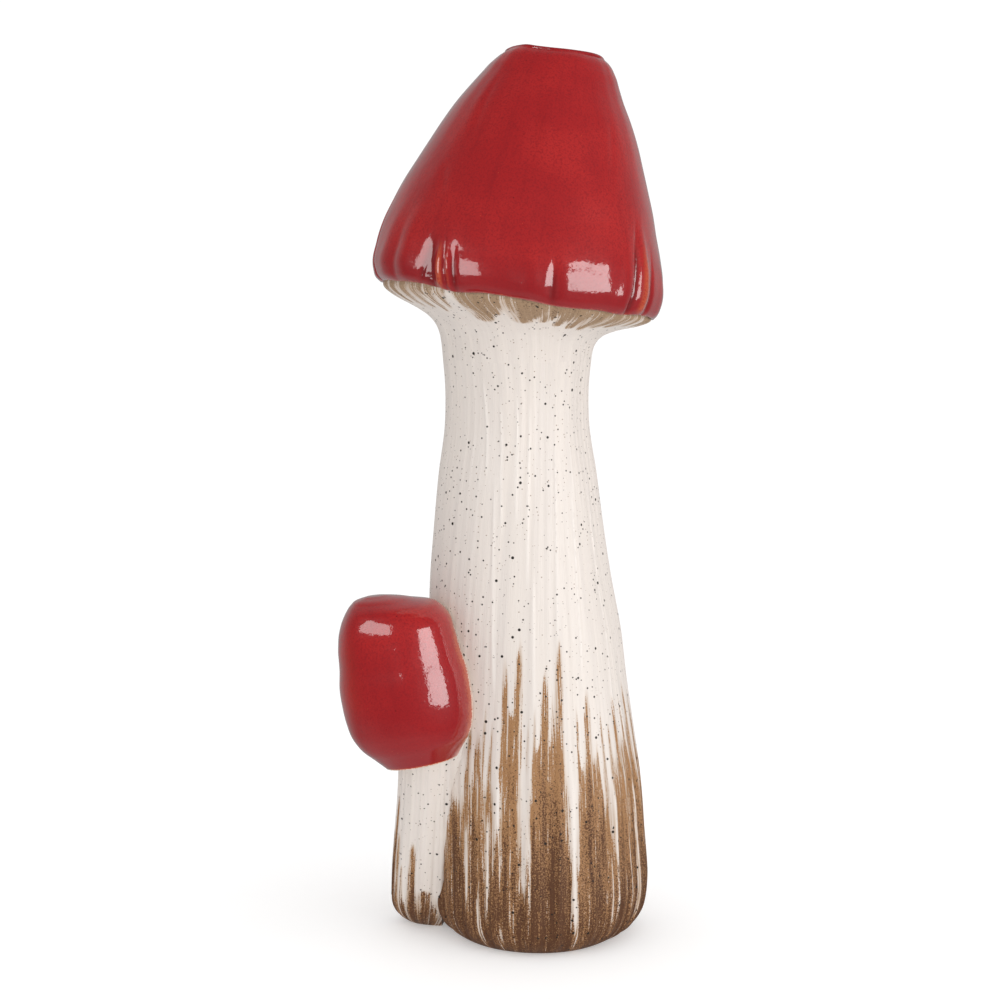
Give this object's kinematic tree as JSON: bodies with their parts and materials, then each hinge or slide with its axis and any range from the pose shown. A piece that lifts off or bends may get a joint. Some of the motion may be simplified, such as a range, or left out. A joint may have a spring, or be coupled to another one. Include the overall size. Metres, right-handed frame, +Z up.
{
  "type": "ceramic mushroom ornament",
  "caption": "Hollow stoneware mushroom with a pleated red cap and an open mouth on top, and a small mushroom luted to the side of its stem.",
  "frame": {"origin": "centre of the tall stem's foot, on the ground", "axes": "+Z up, -Y to the front, where the small mushroom stands at the left of the tall stem, and +X to the viewer's right"},
  "size_m": [0.1227, 0.111, 0.3429],
  "materials": {
    "stoneware": "satin off-white with brown specks and dry brush strokes",
    "red_glaze": "glossy red glaze that breaks to orange on the edges",
    "slip": "matt"
  },
  "bodies": {
    "root": {"main_stem": "stoneware", "neck_slip": "slip", "gill_skirt": "stoneware", "hem_slip": "slip", "cap_dome": "red_glaze", "small_stem": "stoneware", "small_neck_slip": "slip", "small_gills": "stoneware", "small_hem_slip": "slip", "small_dome": "red_glaze"}
  },
  "joints": []
}
